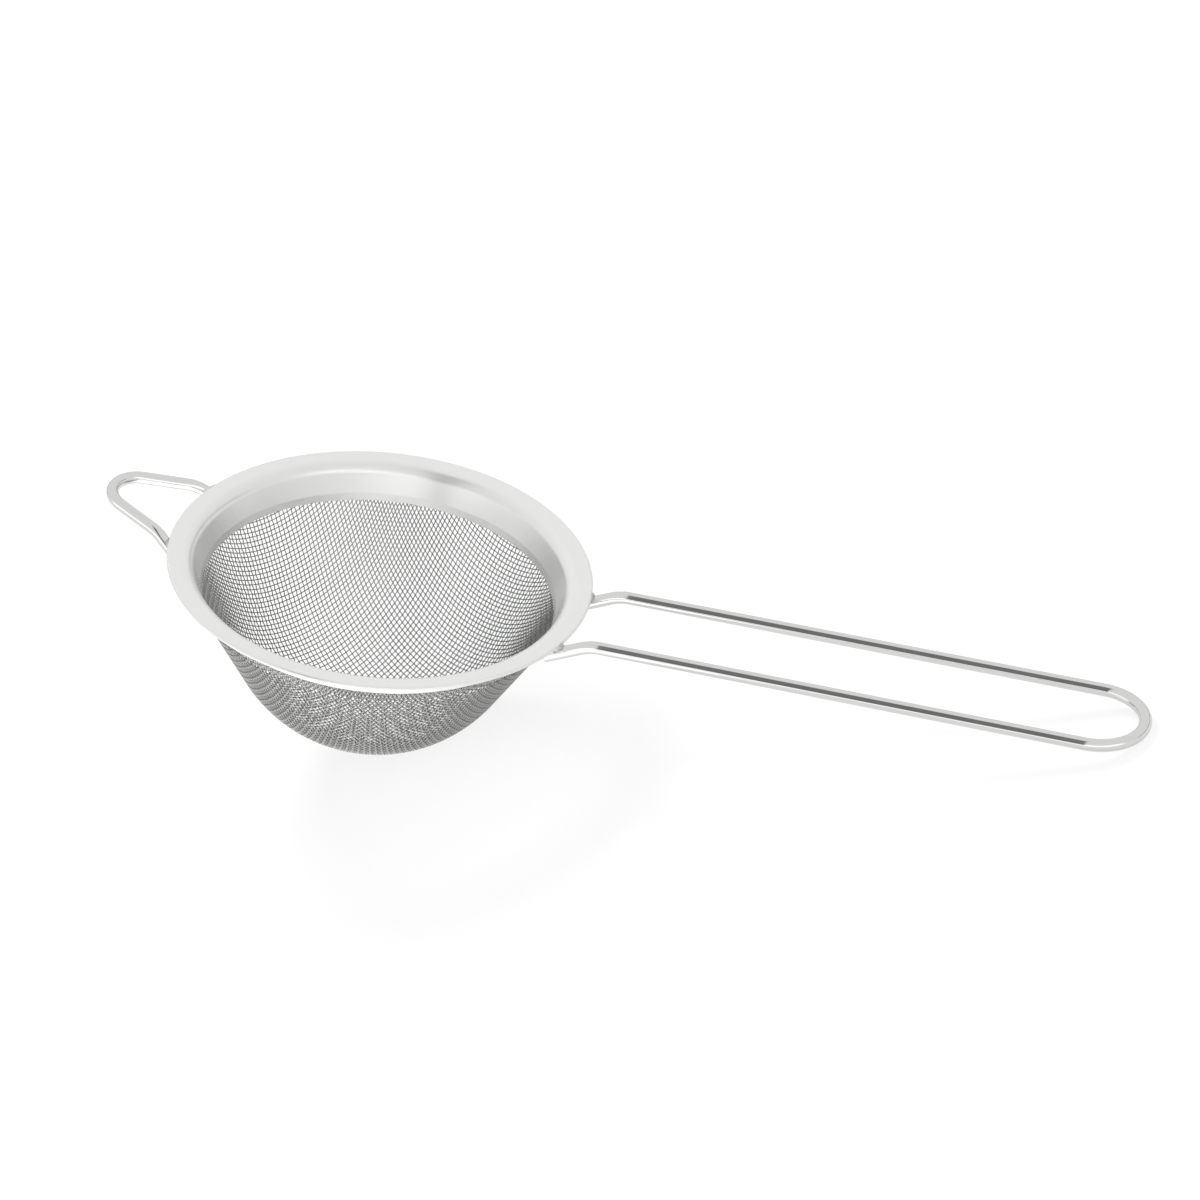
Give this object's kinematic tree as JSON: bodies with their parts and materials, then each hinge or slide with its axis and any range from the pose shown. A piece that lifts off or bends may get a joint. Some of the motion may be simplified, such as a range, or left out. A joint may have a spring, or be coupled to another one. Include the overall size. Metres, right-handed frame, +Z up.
{
  "type": "tea strainer",
  "caption": "Stainless steel tea strainer: woven wire bowl in a flat-brimmed ring, long looped wire handle, short wire hook to rest it across a cup.",
  "frame": {"origin": "middle of the bounding box's bottom, on the table the strainer rests on", "axes": "+X from the bowl towards the handle's tip, +Z up, the XZ plane is the plane of symmetry; the bowl's bottom and the handle's tip both touch z = 0"},
  "size_m": [0.2088, 0.086, 0.0607],
  "materials": {
    "polished_sheet": "polished stainless steel sheet",
    "woven_cloth": "plain woven stainless steel wire cloth",
    "polished_wire": "polished stainless steel wire",
    "weld_bead": "spot weld, cleaned"
  },
  "bodies": {
    "root": {"rim": "polished_sheet", "mesh_bowl": "woven_cloth", "clamp_ring": "polished_sheet", "handle_wire": "polished_wire", "rest_hook": "polished_wire", "handle_welds": "weld_bead", "hook_welds": "weld_bead"}
  },
  "joints": []
}
